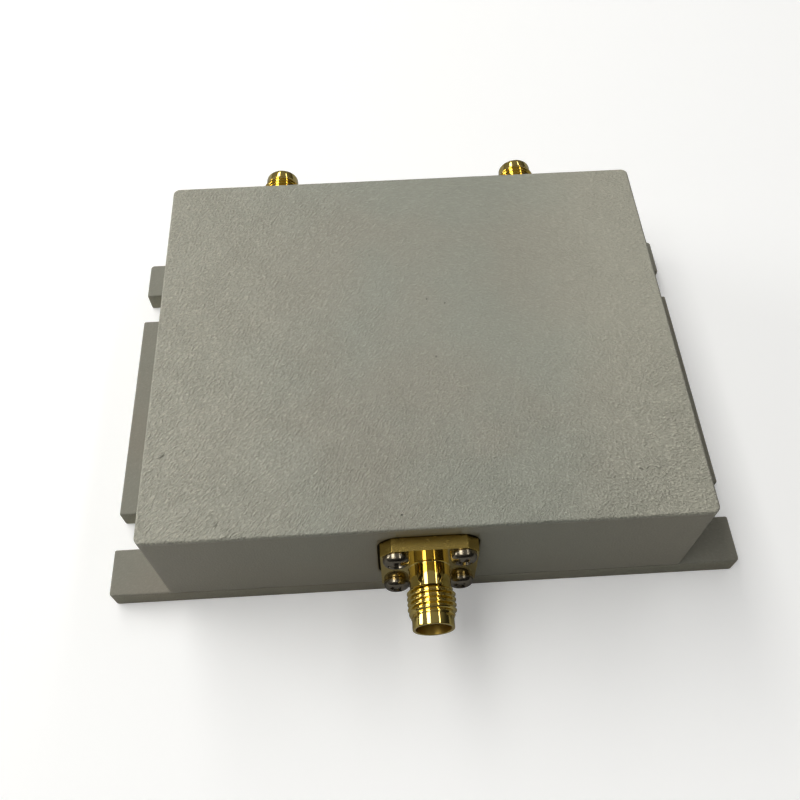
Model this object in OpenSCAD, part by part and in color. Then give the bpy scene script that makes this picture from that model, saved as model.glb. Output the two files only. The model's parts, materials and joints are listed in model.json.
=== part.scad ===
// Two-way radio frequency power divider in a milled, painted box on a slotted base plate.
// Millimetres, +Z up. The origin is the middle of the footprint, on the underside.
// The input connector is at the front (-Y), the two outputs are at the rear (+Y).

/* [Housing] */
// Width of the housing, without the ears of the base plate
housing_w = 73.5; // [70:0.5:110]
// Depth of the housing and of the base plate
housing_d = 61; // [57:0.5:100]
// Height of the housing above the base plate
housing_h = 18; // [17:0.5:30]
// Thickness of the four side walls
wall = 6; // [5.5:0.25:7]
// Thickness of the top
top_wall = 3; // [2:0.25:4]
// Radius of the housing's upright corners
corner_r = 1; // [0.6:0.1:3]
// Radius of the edges round the top
edge_r = 0.3; // [0.2:0.1:0.6]

/* [Base plate] */
// Thickness of the base plate
plate_t = 3.5; // [3:0.25:6]
// How far each ear stands out beyond the housing
ear_w = 8.25; // [7:0.25:14]
// Width of the open fixing slots
slot_w = 5.5; // [4.2:0.1:6.6]
// Distance between the slots of one ear
slot_spacing = 41.5; // [30:0.5:46]
// Radius of the ears' corners in plan
ear_corner_r = 0.6; // [0.3:0.1:2]

/* [Connectors] */
// Distance from each side of the housing to the axis of the nearer output connector
output_inset = 16.25; // [14.25:0.25:19.75]
// Side of the square connector flange
flange_side = 12.7; // [12.2:0.1:13.2]
// Thickness of the connector flange
flange_t = 1.95; // [1.6:0.05:3]
// Chamfer on the flange's corners
flange_chamfer = 1.5; // [0.5:0.1:2.1]
// Distance between the flange's screw holes
flange_hole_spacing = 8.64; // [8.4:0.02:8.8]
// Outer diameter of the plain neck between flange and thread
neck_d = 5.43; // [5:0.01:5.5]
// Length of the neck
neck_l = 3.1; // [2:0.1:6]
// Outer diameter of the coupling thread
thread_d = 6.35; // [6.2:0.01:6.5]
// Pitch of the coupling thread
thread_pitch = 0.7056; // [0.6:0.01:0.75]
// Length of the threaded part
thread_l = 3.65; // [3:0.05:6]
// Outer diameter of the plain nose in front of the thread
nose_d = 5.44; // [5.2:0.01:5.5]
// Length of the nose
nose_l = 1.45; // [1:0.05:2]
// Bore that takes the plug's outer contact
socket_d = 4.64; // [4.5:0.01:4.8]
// Depth of that bore
socket_l = 1.93; // [1.5:0.01:2.3]
// Diameter of the insulator
insulator_d = 4.1; // [3.9:0.05:4.3]
// Diameter of the centre contact
contact_d = 1.27; // [1.1:0.01:1.4]
// Diameter of the hole in the centre contact
contact_bore_d = 0.94; // [0.85:0.01:0.98]

/* [Screws] */
// Thread diameter of the flange screws and board screws
small_screw_d = 2; // [1.6:0.1:2.2]
// Head diameter of the flange screws and board screws
small_head_d = 3.5; // [3.2:0.05:3.7]
// Head height of the flange screws and board screws
small_head_h = 1.3; // [0.9:0.05:1.6]
// Length of a flange screw under its head
flange_screw_l = 6; // [4:0.25:6.5]
// Thread diameter of the base plate screws
plate_screw_d = 2.5; // [2:0.1:2.6]
// Head diameter of the base plate screws
plate_head_d = 4.7; // [4.2:0.1:5]
// How far a base plate screw reaches into the housing
plate_screw_grip = 4.5; // [3:0.25:4.75]

/* [Circuit board] */
// Thickness of the board's laminate
board_t = 1; // [0.5:0.1:1.6]
// Thickness of the copper layers
copper_t = 0.1; // [0.07:0.01:0.14]
// Width of the input and output lines
line_w = 1.9; // [1.4:0.1:2.4]
// Length of the input line, from the board's edge copper to the first arms
input_line_l = 6.35; // [4:0.05:9]
// Gap between the two arms where a resistor bridges them
arm_gap = 1; // [0.8:0.05:1.1]
// Length of an isolation resistor
resistor_l = 2; // [1.8:0.05:2.2]
// Width of an isolation resistor
resistor_w = 1.25; // [1:0.05:1.4]
// Thickness of an isolation resistor
resistor_t = 0.52; // [0.4:0.02:0.7]

/* [Hidden] */
$fn = 64;
over = 1;
fit_gap = 0.02;

// Levels, from the underside up
total_h = plate_t + housing_h;
axis_z = plate_t + housing_h / 2;
solder_gap = 0.05;
tracks_z = axis_z + contact_d / 2 + solder_gap;
board_z = tracks_z + copper_t;
ground_z = board_z + board_t;
ledge_z = ground_z + copper_t;
roof_z = total_h - top_wall;

// Housing
pocket_w = housing_w - 2 * wall;
pocket_d = housing_d - 2 * wall;
pocket_r = 3;
ledge_w = 2;
boss_r = 3;
boss_inset = 2.6;
hole_spare = 0.8;

// Masked seat of a connector in the paint. Its round corners clear the flange's chamfers
// by the same margin.
seat_depth = 0.15;
seat_margin = 0.35;
seat_r = seat_margin + flange_chamfer * (1 + sqrt(2) / 2);
seat_side = flange_side + 2 * seat_margin;

// Base plate
overall_w = housing_w + 2 * ear_w;
plate_hole_gap = 0.1;
head_recess = 0.15;
head_rim_h = 0.2;
plate_drive_share = 0.52;
plate_drive_w = 0.75;
plate_drive_h = 0.8;

// Connector
flange_hole_gap = 0.2;
thread_chamfer = 0.3;
thread_depth_share = 0.6134;
crest_share = 0.125;
root_share = 0.25;
nose_chamfer = 0.2;
contact_recess = 0.05;
contact_bore_l = 3;
contact_slot_w = 0.16;
contact_slot_l = 2.4;
tail_l = 2.8;
connector_l = flange_t + neck_l + thread_l + nose_l;
output_x = housing_w / 2 - output_inset;
seat_y = housing_d / 2 - seat_depth;
wall_through = seat_y - pocket_d / 2;

// Pan head and its cross recess, as shares of the head
head_edge_share = 0.3;
drive_l_share = 0.6;
drive_w_share = 0.17;
drive_h_share = 0.62;

// Board outline and screws
board_gap = 0.2;
board_w = pocket_w - 2 * board_gap;
board_d = pocket_d - 2 * board_gap;
board_r = pocket_r;
copper_margin = 0.3;
board_hole_gap = 0.1;
pad_w = 0.35;
board_screw_grip = 3;
board_screw_l = board_t + 2 * copper_t + board_screw_grip;

// Wilkinson figure: three pairs of arms, narrow at the input and wide at the outputs.
// The arms fill the board's depth between the input line and the output lines.
arm_ws = [0.7, 1.05, 1.5];
link_l = 1.6;
link_w = 1.3;
bend_r = 3;
stub_l = 3.2;
bar_y = board_d / 2 - stub_l - bend_r;
arms_start_y = copper_margin - board_d / 2 + input_line_l;
arm_pitch = (bar_y - line_w / 2 - arms_start_y) / len(arm_ws);
arm_r = (arm_pitch - link_l) / 2;

// Chip resistors
cap_l = 0.4;
cap_t = 0.04;
fillet_l = 0.35;
fillet_h_share = 0.6;

// Solder on the centre contacts
solder_w = 1.7;
solder_top_w = 1.45;
solder_ends = 0.25;
bare_tail = 0.3;

coated_grey = [0.56, 0.55, 0.49];
gold = [0.86, 0.66, 0.22];
steel = [0.72, 0.72, 0.74];
tin = [0.78, 0.79, 0.8];

// Places that several pieces share

function signs() = [-1, 1];

function plate_screw_places() =
    let (x = (housing_w - wall) / 2, y = (housing_d - wall) / 2)
    [for (i = [-1, 0, 1], j = [-1, 0, 1]) if (i != 0 || j != 0) [i * x, j * y]];

function board_screw_places() =
    let (
        x = board_w / 2 - boss_inset,
        y = board_d / 2 - boss_inset,
        x_mid = (arm_r + board_w / 2) / 2
    )
    concat([for (i = signs(), j = signs()) [i * x, j * y]], [for (i = signs()) [i * x_mid, 0]]);

function arm_y(i) = arms_start_y + arm_r + i * arm_pitch;

function resistor_y(i) = arm_y(i) + arm_r + link_l / 2;

// Puts a connector piece on the front wall (side -1) or the rear wall (side 1).
// Its own +Z points out of the housing and its +Y points up; its zero is the flange's back.
module on_wall(x, side) {
    translate([x, side * seat_y, axis_z])
        rotate([0, 0, side > 0 ? 180 : 0])
            rotate([90, 0, 0])
                children();
}

module at_input() on_wall(0, -1) children();

module at_left_output() on_wall(-output_x, 1) children();

module at_right_output() on_wall(output_x, 1) children();

module at_every_connector() {
    at_input() children();
    at_left_output() children();
    at_right_output() children();
}

module at_flange_holes() {
    for (i = signs(), j = signs())
        translate([i * flange_hole_spacing / 2, j * flange_hole_spacing / 2, 0])
            children();
}

// Plane shapes

module rounded_rect(w, d, r) {
    square([w - 2 * r, d], center = true);
    square([w, d - 2 * r], center = true);
    for (i = signs(), j = signs())
        translate([i * (w / 2 - r), j * (d / 2 - r)])
            circle(r = r);
}

// Side view of a block whose two upper edges are rounded
module loaf(w, h, r) {
    translate([-w / 2, 0])
        square([w, h - r]);
    translate([r - w / 2, 0])
        square([w - 2 * r, h]);
    for (i = signs())
        translate([i * (w / 2 - r), h - r])
            circle(r = r);
}

module cut_corner_square(side, chamfer) {
    h = side / 2;
    c = chamfer;
    polygon([
        [c - h, -h], [h - c, -h], [h, c - h], [h, h - c],
        [h - c, h], [c - h, h], [-h, h - c], [-h, c - h]
    ]);
}

// Housing, milled from solid and open underneath

module housing_block() {
    intersection() {
        linear_extrude(housing_h)
            rounded_rect(housing_w, housing_d, corner_r);
        rotate([90, 0, 0])
            translate([0, 0, -housing_d / 2 - over])
                linear_extrude(housing_d + 2 * over)
                    loaf(housing_w, housing_h, edge_r);
        rotate([90, 0, 90])
            translate([0, 0, -housing_w / 2 - over])
                linear_extrude(housing_w + 2 * over)
                    loaf(housing_d, housing_h, edge_r);
    }
}

module housing_pocket() {
    translate([0, 0, plate_t - over])
        linear_extrude(ledge_z - plate_t + over)
            rounded_rect(pocket_w, pocket_d, pocket_r);
    difference() {
        translate([0, 0, ledge_z - over])
            linear_extrude(roof_z - ledge_z + over)
                rounded_rect(pocket_w - 2 * ledge_w, pocket_d - 2 * ledge_w, pocket_r);
        for (p = board_screw_places())
            translate([p[0], p[1], ledge_z])
                cylinder(r = boss_r, h = housing_h);
    }
}

module connector_cuts() {
    linear_extrude(seat_depth + over)
        rounded_rect(seat_side, seat_side, seat_r);
    translate([0, 0, -wall_through - over])
        cylinder(d = insulator_d + 2 * fit_gap, h = wall_through + 2 * over);
    hole_l = flange_screw_l - flange_t + hole_spare;
    at_flange_holes()
        translate([0, 0, -hole_l])
            cylinder(d = small_screw_d + 2 * fit_gap, h = hole_l + over);
}

module housing() {
    color(coated_grey)
        difference() {
            translate([0, 0, plate_t])
                housing_block();
            housing_pocket();
            at_every_connector()
                connector_cuts();
            for (p = plate_screw_places())
                translate([p[0], p[1], plate_t - over])
                    cylinder(d = plate_screw_d + 2 * fit_gap, h = over + plate_screw_grip + hole_spare);
            for (p = board_screw_places())
                translate([p[0], p[1], ledge_z - over])
                    cylinder(d = small_screw_d + 2 * fit_gap, h = over + board_screw_grip + hole_spare);
        }
}

// Base plate with two ears and four open slots

module fixing_slot() {
    x = (housing_w + ear_w) / 2;
    translate([x, 0, -over])
        cylinder(d = slot_w, h = plate_t + 2 * over);
    translate([x, -slot_w / 2, -over])
        cube([ear_w / 2 + over, slot_w, plate_t + 2 * over]);
}

// The right-hand side as drawn, the left-hand side as its mirror image
module on_side(i) {
    if (i > 0) children();
    else mirror([1, 0, 0]) children();
}

// A countersunk head, its cone at the usual 90 degrees, or with a gap and a lower foot its hole
module countersunk_head(gap, foot) {
    cone_h = (plate_head_d - plate_screw_d) / 2;
    rotate_extrude()
        polygon([
            [0, foot], [plate_head_d / 2 + gap, foot],
            [plate_head_d / 2 + gap, head_rim_h],
            [plate_screw_d / 2 + gap, head_rim_h + cone_h],
            [0, head_rim_h + cone_h]
        ]);
}

module base_plate() {
    color(coated_grey)
        difference() {
            linear_extrude(plate_t)
                rounded_rect(overall_w, housing_d, ear_corner_r);
            for (i = signs(), j = signs())
                on_side(i)
                    translate([0, j * slot_spacing / 2, 0])
                        fixing_slot();
            for (p = plate_screw_places())
                translate([p[0], p[1], head_recess]) {
                    countersunk_head(plate_hole_gap, -over);
                    translate([0, 0, -over])
                        cylinder(d = plate_screw_d + 2 * plate_hole_gap, h = plate_t + 2 * over);
                }
        }
}

// Cross recess of a screw head, from zero upwards
module cross_recess(l, w, h) {
    for (a = [0, 90])
        rotate([0, 0, a])
            translate([-l / 2, -w / 2, 0])
                cube([l, w, h]);
}

module base_plate_screws() {
    color(steel)
        for (p = plate_screw_places())
            translate([p[0], p[1], head_recess])
                difference() {
                    union() {
                        countersunk_head(0, 0);
                        cylinder(d = plate_screw_d, h = plate_t - head_recess + plate_screw_grip);
                    }
                    translate([0, 0, -over])
                        cross_recess(
                            plate_drive_share * plate_head_d, plate_drive_w, plate_drive_h + over
                        );
                }
}

// Small pan-head screw, head upwards, its seat at zero

module pan_screw(l) {
    r = small_head_d / 2;
    edge = head_edge_share * small_head_h;
    difference() {
        union() {
            translate([0, 0, -l])
                cylinder(d = small_screw_d, h = l + edge);
            rotate_extrude()
                union() {
                    square([r, small_head_h - edge]);
                    square([r - edge, small_head_h]);
                    translate([r - edge, small_head_h - edge])
                        circle(r = edge);
                }
        }
        translate([0, 0, small_head_h * (1 - drive_h_share)])
            cross_recess(
                drive_l_share * small_head_d, drive_w_share * small_head_d, small_head_h
            );
    }
}

module flange_screws() {
    color(steel)
        at_flange_holes()
            translate([0, 0, flange_t])
                pan_screw(flange_screw_l);
}

// Circuit board, copper side down

module board_outline(margin) {
    rounded_rect(board_w - 2 * margin, board_d - 2 * margin, board_r - margin);
}

module board_holes(gap, z, h) {
    for (p = board_screw_places())
        translate([p[0], p[1], z - over])
            cylinder(d = small_screw_d + 2 * gap, h = h + 2 * over);
}

module circuit_board() {
    color([0.83, 0.8, 0.66])
        difference() {
            translate([0, 0, board_z])
                linear_extrude(board_t)
                    board_outline(0);
            board_holes(board_hole_gap, board_z, board_t);
        }
}

module ground_plane() {
    color([0.8, 0.47, 0.3])
        difference() {
            translate([0, 0, ground_z])
                linear_extrude(copper_t)
                    board_outline(copper_margin);
            board_holes(board_hole_gap, ground_z, copper_t);
        }
}

module arm_pair(i) {
    translate([0, arm_y(i)])
        difference() {
            circle(r = arm_r + arm_ws[i] / 2);
            circle(r = arm_r - arm_ws[i] / 2);
        }
}

// The straight stretches beside resistor i, which lead on to the next pair of arms or the outputs
module arm_links(i) {
    start = arm_y(i) + arm_r - arm_ws[i] / 2;
    end = arm_y(i) + arm_r + link_l + line_w / 2;
    for (s = signs())
        translate([s > 0 ? arm_gap / 2 : -arm_gap / 2 - link_w, start])
            square([link_w, end - start]);
}

module output_line() {
    translate([arm_gap / 2, bar_y - line_w / 2])
        square([output_x - bend_r - arm_gap / 2, line_w]);
    translate([output_x - bend_r, bar_y + bend_r])
        intersection() {
            difference() {
                circle(r = bend_r + line_w / 2);
                circle(r = bend_r - line_w / 2);
            }
            translate([0, -2 * bend_r])
                square([2 * bend_r, 2 * bend_r]);
        }
    translate([output_x - line_w / 2, bar_y + bend_r])
        square([line_w, stub_l - copper_margin]);
}

module input_line() {
    translate([-line_w / 2, arms_start_y - input_line_l])
        square([line_w, input_line_l]);
}

module divider_figure() {
    input_line();
    difference() {
        for (i = [0 : len(arm_ws) - 1])
            arm_pair(i);
        translate([-arm_gap / 2, arm_y(0)])
            square([arm_gap, board_d]);
    }
    for (i = [0 : len(arm_ws) - 1])
        arm_links(i);
    output_line();
    mirror([1, 0])
        output_line();
}

module screw_pads() {
    for (p = board_screw_places())
        translate(p)
            difference() {
                circle(d = small_head_d + 2 * pad_w);
                circle(d = small_screw_d + 2 * board_hole_gap);
            }
}

module copper_tracks() {
    color([0.86, 0.52, 0.33])
        translate([0, 0, tracks_z])
            linear_extrude(copper_t) {
                divider_figure();
                screw_pads();
            }
}

module board_screws() {
    color(steel)
        for (p = board_screw_places())
            translate([p[0], p[1], tracks_z])
                rotate([180, 0, 0])
                    pan_screw(board_screw_l);
}

// Chip resistors across the gap between the arms, on the copper side

module ceramic(inset) {
    l = resistor_l - 2 * inset;
    w = resistor_w - 2 * inset;
    translate([-l / 2, -w / 2, inset])
        cube([l, w, resistor_t - 2 * inset]);
}

// Puts a piece on the tracks at resistor i, upside down because the tracks face down
module at_resistor(i) {
    translate([0, resistor_y(i), tracks_z])
        rotate([180, 0, 0])
            children();
}

module isolation_resistor(i) {
    color([0.9, 0.9, 0.88])
        at_resistor(i)
            ceramic(cap_t);
}

module end_caps() {
    difference() {
        ceramic(0);
        ceramic(cap_t);
        translate([cap_l - resistor_l / 2, -resistor_w, -over])
            cube([resistor_l - 2 * cap_l, 2 * resistor_w, resistor_t + 2 * over]);
    }
}

module resistor_end_caps() {
    color(tin)
        for (i = [0 : len(arm_ws) - 1])
            at_resistor(i)
                end_caps();
}

module end_fillets() {
    h = fillet_h_share * resistor_t;
    for (a = [0, 180])
        rotate([0, 0, a])
            translate([resistor_l / 2, resistor_w / 2, 0])
                rotate([90, 0, 0])
                    linear_extrude(resistor_w)
                        polygon([[0, 0], [fillet_l, 0], [0, h]]);
}

module resistor_solder() {
    color(tin)
        for (i = [0 : len(arm_ws) - 1])
            at_resistor(i)
                end_fillets();
}

// Connector pieces, in the connector's own frame

// Outline of the thread from its foot to its tip: a flat crest and a flat root in every pitch
function thread_points(z0) =
    let (
        crest = thread_d / 2,
        root = crest - thread_depth_share * thread_pitch,
        turns = floor((thread_l - 2 * thread_chamfer) / thread_pitch),
        lead = (thread_l - turns * thread_pitch) / 2,
        flank = thread_pitch * (1 - crest_share - root_share) / 2
    )
    concat(
        [[crest - thread_chamfer, z0], [crest, z0 + thread_chamfer]],
        [for (i = [0 : turns - 1])
            let (z = z0 + lead + i * thread_pitch)
            each [
                [crest, z + crest_share * thread_pitch / 2],
                [root, z + crest_share * thread_pitch / 2 + flank],
                [root, z + crest_share * thread_pitch / 2 + flank + root_share * thread_pitch],
                [crest, z + thread_pitch - crest_share * thread_pitch / 2]
            ]],
        [[crest, z0 + thread_l - thread_chamfer], [crest - thread_chamfer, z0 + thread_l]]
    );

module barrel() {
    z0 = flange_t + neck_l;
    rotate_extrude()
        polygon(concat(
            [[0, 0], [neck_d / 2, 0], [neck_d / 2, z0]],
            thread_points(z0),
            [
                [nose_d / 2, z0 + thread_l],
                [nose_d / 2, connector_l - nose_chamfer],
                [nose_d / 2 - nose_chamfer, connector_l],
                [0, connector_l]
            ]
        ));
}

module connector_shell() {
    color(gold)
        difference() {
            union() {
                linear_extrude(flange_t)
                    cut_corner_square(flange_side, flange_chamfer);
                barrel();
            }
            translate([0, 0, -over])
                cylinder(d = insulator_d + 2 * fit_gap, h = connector_l + 2 * over);
            translate([0, 0, connector_l - socket_l])
                cylinder(d = socket_d, h = socket_l + over);
            at_flange_holes()
                translate([0, 0, -over])
                    cylinder(d = small_screw_d + 2 * flange_hole_gap, h = flange_t + 2 * over);
        }
}

module insulator() {
    l = wall_through + connector_l - socket_l;
    color([0.95, 0.95, 0.93])
        difference() {
            translate([0, 0, -wall_through])
                cylinder(d = insulator_d, h = l);
            translate([0, 0, -wall_through - over])
                cylinder(d = contact_d + 2 * fit_gap, h = l + 2 * over);
        }
}

module center_contact() {
    top = connector_l - socket_l - contact_recess;
    color(gold)
        difference() {
            translate([0, 0, -wall_through - tail_l])
                cylinder(d = contact_d, h = top + wall_through + tail_l);
            translate([0, 0, top - contact_bore_l])
                cylinder(d = contact_bore_d, h = contact_bore_l + over);
            for (a = [45, 135])
                rotate([0, 0, a])
                    translate([-contact_d, -contact_slot_w / 2, top - contact_slot_l])
                        cube([2 * contact_d, contact_slot_w, contact_slot_l + over]);
        }
}

// Solder between the contact's tail and the track above it
module solder_joint() {
    l = tail_l - board_gap - bare_tail + solder_ends;
    top = contact_d / 2 + solder_gap;
    color(tin)
        translate([0, 0, -wall_through - tail_l - solder_ends])
            difference() {
                linear_extrude(l)
                    polygon([
                        [-solder_top_w / 2, 0], [solder_top_w / 2, 0],
                        [solder_w / 2, top], [-solder_w / 2, top]
                    ]);
                translate([0, 0, solder_ends])
                    cylinder(d = contact_d + 2 * fit_gap, h = l);
            }
}

housing();
base_plate();
base_plate_screws();
circuit_board();
ground_plane();
copper_tracks();
board_screws();
isolation_resistor(0);  // first_isolation_resistor
isolation_resistor(1);  // second_isolation_resistor
isolation_resistor(2);  // third_isolation_resistor
resistor_end_caps();
resistor_solder();
at_input() connector_shell();  // input_connector_shell
at_input() insulator();  // input_insulator
at_input() center_contact();  // input_center_contact
at_input() flange_screws();  // input_flange_screws
at_input() solder_joint();  // input_solder_joint
at_left_output() connector_shell();  // left_output_connector_shell
at_left_output() insulator();  // left_output_insulator
at_left_output() center_contact();  // left_output_center_contact
at_left_output() flange_screws();  // left_output_flange_screws
at_left_output() solder_joint();  // left_output_solder_joint
at_right_output() connector_shell();  // right_output_connector_shell
at_right_output() insulator();  // right_output_insulator
at_right_output() center_contact();  // right_output_center_contact
at_right_output() flange_screws();  // right_output_flange_screws
at_right_output() solder_joint();  // right_output_solder_joint
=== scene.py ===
"""Builds the looks of a two-way radio frequency power divider round its packed frame.

The housing and its base plate wear a grained powder coat, the three coaxial connectors are turned,
threaded and gold plated, and the board and its small parts inside keep their CAD shapes.
"""

import json
import math

import bmesh
import bpy
import numpy as np
from bpy.props import FloatProperty, FloatVectorProperty, IntProperty, PointerProperty
from mathutils import Euler, Matrix, Vector


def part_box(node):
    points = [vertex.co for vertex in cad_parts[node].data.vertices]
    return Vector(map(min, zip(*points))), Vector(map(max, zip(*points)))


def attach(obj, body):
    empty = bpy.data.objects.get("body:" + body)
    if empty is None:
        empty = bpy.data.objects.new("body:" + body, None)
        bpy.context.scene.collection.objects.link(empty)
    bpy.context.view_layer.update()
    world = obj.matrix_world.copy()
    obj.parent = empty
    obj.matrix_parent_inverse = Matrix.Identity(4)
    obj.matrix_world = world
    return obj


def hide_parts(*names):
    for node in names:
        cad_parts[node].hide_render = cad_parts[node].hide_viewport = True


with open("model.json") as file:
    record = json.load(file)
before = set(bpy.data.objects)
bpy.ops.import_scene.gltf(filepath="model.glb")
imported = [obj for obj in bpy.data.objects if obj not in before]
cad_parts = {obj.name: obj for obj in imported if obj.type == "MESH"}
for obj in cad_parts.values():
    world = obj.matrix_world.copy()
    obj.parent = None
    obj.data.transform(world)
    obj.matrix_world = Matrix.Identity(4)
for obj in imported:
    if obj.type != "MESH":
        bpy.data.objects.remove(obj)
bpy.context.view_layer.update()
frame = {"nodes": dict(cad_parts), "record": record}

bl_info = {
    "name": "Power Divider",
    "version": (1, 0, 0),
    "blender": (4, 5, 0),
    "location": "3D View > Sidebar > Divider",
    "description": "Coated two-way power divider with gold coaxial connectors",
    "category": "Add Mesh",
}

MM = 0.001
MERGE = 5e-7
CONNECTORS = ("input", "left_output", "right_output")

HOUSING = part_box("housing")
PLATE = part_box("base_plate")
MOUNTS = {mount["name"]: mount for mount in frame["record"]["mounts"]}

# Right wall, rear wall and top of the housing, and top of the base plate, in millimetres
RIGHT, REAR, TOP = (value / MM for value in HOUSING[1])
PLATE_TOP = PLATE[1].z / MM

# Middle of the place where the coat flowed out smoother, in millimetres
SMOOTH_SPOT = (16.0, 14.0, TOP)

# Marks on the housing's top, in millimetres and degrees: place across, place back, half length,
# half width, lean, height and dirt
MARKS = (
    (-34.3, -18.2, 0.75, 0.14, 40.0, 0.9, 0.0),
    (-34.1, -18.4, 0.7, 0.12, 40.0, -0.9, 0.3),
    (-31.4, -17.6, 0.2, 0.2, 0.0, 0.9, 0.0),
    (-26.7, -28.5, 0.4, 0.2, 35.0, 0.9, 0.0),
    (27.9, -23.9, 0.4, 0.11, -25.0, -0.9, 0.25),
    (28.8, -23.8, 0.4, 0.11, 40.0, -0.9, 0.25),
    (24.2, -24.8, 0.25, 0.15, 20.0, 0.9, 0.0),
    (2.3, 5.6, 0.18, 0.18, 0.0, -0.5, 0.5),
    (4.9, 4.7, 0.15, 0.15, 0.0, -0.5, 0.45),
    (2.9, -4.7, 0.18, 0.18, 0.0, -0.5, 0.5),
    (-3.3, -28.5, 0.17, 0.17, 0.0, -0.5, 0.8),
    (3.2, -18.2, 0.9, 0.08, 60.0, -0.5, 0.2),
)

# Colours that the finishes turn into in places
# Dark colour of the open joint, also used as painted shade along the housing top's right and rear edges
JOINT_AND_EDGE_SHADE = (0.03, 0.028, 0.022)
SPECK = (0.05, 0.045, 0.04)
# Painted shade and some dirt in the screws' cross recesses
SCREW_RECESS_SHADE_AND_DIRT = (0.05, 0.04, 0.035)
TARNISH = (0.62, 0.42, 0.08)
# Painted shade: dark brown gold deep in the sockets' bores
BORE_GOLD_SHADE = (0.3, 0.17, 0.02)
MILLED_GOLD = (0.6, 0.43, 0.115)
OXIDE = (0.42, 0.2, 0.11)
TIN = (0.66, 0.66, 0.67)
DULL_TIN = (0.5, 0.5, 0.52)
CERAMIC = (0.78, 0.78, 0.75)
CERAMIC_GRAIN = (0.68, 0.68, 0.65)

# Tints that multiply the coat's colour
WARM_TINT = (1.02, 0.99, 0.98)
COOL_TINT = (0.98, 1.005, 1.01)
# Painted shade: the housing's walls darker and warmer than its top
WALL_SHADE_TINT = (0.945, 0.91, 0.88)
# Painted shade: the base plate's top darker than its sides
PLATE_SIDE_SHADE_TINT = (0.98, 0.94, 0.91)
PLATE_TOP_SHADE_TINT = (0.81, 0.78, 0.79)

# Lamps: name, centre and size in metres, setting of their brightness, and whether they are turned
# towards the object
LAMPS = (
    ("left_strip", (-0.29, 0.37, 0.6), (0.22, 1.34), "strip", False),
    ("right_strip", (0.37, 0.37, 0.6), (0.06, 1.34), "strip", False),
    ("side_box", (-0.66, 0.22, 0.26), (0.4, 0.24), "side", True),
)


# Sizes and colours that a user would change


def length(name, description, default):
    """A length property, given in millimetres and kept in metres."""
    return FloatProperty(
        name=name,
        description=description,
        default=default * MM,
        min=0.0,
        precision=5,
        subtype="DISTANCE",
        unit="LENGTH",
    )


def share(name, description, default, top=1.0):
    """A plain number property from zero upwards."""
    return FloatProperty(name=name, description=description, default=default, min=0.0, max=top)


def colour(name, description, default):
    """A colour property in linear light."""
    return FloatVectorProperty(
        name=name, description=description, default=default, size=3, min=0.0, max=1.0, subtype="COLOR"
    )


class DIVIDER_PG_body(bpy.types.PropertyGroup):
    """Coated housing and base plate."""

    corner: length("Corner Radius", "Radius of the housing's upright corners", 1.0)
    edge: length("Edge Radius", "Radius of the edges round the housing's top", 0.3)
    plate_edge: length("Plate Edge Radius", "Radius of the base plate's edges", 0.3)
    plate_corner: length("Ear Corner Radius", "Radius of the ears' corners in plan", 0.6)
    slot_width: length("Slot Width", "Width of the open fixing slots", 5.5)
    step: length("Grid Step", "Distance between the grid lines of the housing's skin", 0.26)
    grain_size: length("Grain Size", "Distance from bump to bump of the coat", 0.75)
    grain_depth: length("Grain Depth", "How deep the pits between the bumps are", 0.013)
    seam_depth: length("Seam Depth", "Depth of the joint that the coat has not filled", 0.05)


class DIVIDER_PG_connector(bpy.types.PropertyGroup):
    """Coaxial connectors, from the flange outwards."""

    flange_thickness: length("Flange Thickness", "Thickness of the square flange", 1.95)
    flange_chamfer: length("Flange Chamfer", "Chamfer on the flange's corners", 1.5)
    flange_edge: length("Flange Edge Radius", "Radius of the flange's edges", 0.03)
    hole_spacing: length("Hole Spacing", "Distance between the flange's screws", 8.64)
    neck: length("Neck Diameter", "Diameter of the plain neck", 5.43)
    neck_length: length("Neck Length", "Length of the plain neck", 3.1)
    root_radius: length("Root Radius", "Radius between the flange's face and the neck", 0.15)
    thread: length("Thread Diameter", "Outer diameter of the coupling thread", 6.35)
    thread_length: length("Thread Length", "Length of the coupling thread", 3.65)
    pitch: length("Thread Pitch", "Pitch of the coupling thread", 0.7056)
    thread_depth: length("Thread Depth", "Depth of the coupling thread", 0.433)
    nose: length("Nose Diameter", "Diameter of the plain nose", 5.44)
    socket: length("Socket Diameter", "Bore that takes the plug's outer contact", 4.64)
    socket_length: length("Socket Depth", "Depth of that bore", 1.93)
    bore: length("Insulator Bore", "Bore that holds the insulator", 4.14)
    contact_bore: length("Contact Bore", "Hole in the centre contact", 0.94)
    contact_slot: length("Contact Slot", "Width of the slots in the centre contact", 0.16)


class DIVIDER_PG_screws(bpy.types.PropertyGroup):
    """Pan-head flange screws and countersunk base plate screws."""

    head: length("Head Diameter", "Head diameter of a flange screw", 3.5)
    head_height: length("Head Height", "Head height of a flange screw", 1.3)
    shank: length("Shank Diameter", "Thread diameter of a flange screw", 2.0)
    pitch: length("Screw Pitch", "Pitch of a flange screw", 0.4)
    reach: length("Screw Length", "Length of a flange screw under its head", 6.0)
    plate_head: length("Plate Head Diameter", "Head diameter of a base plate screw", 4.7)
    plate_shank: length("Plate Shank Diameter", "Thread diameter of a base plate screw", 2.5)
    plate_pitch: length("Plate Screw Pitch", "Pitch of a base plate screw", 0.45)
    seed: IntProperty(name="Turn Seed", description="Picks how far each screw is turned", default=5)


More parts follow.
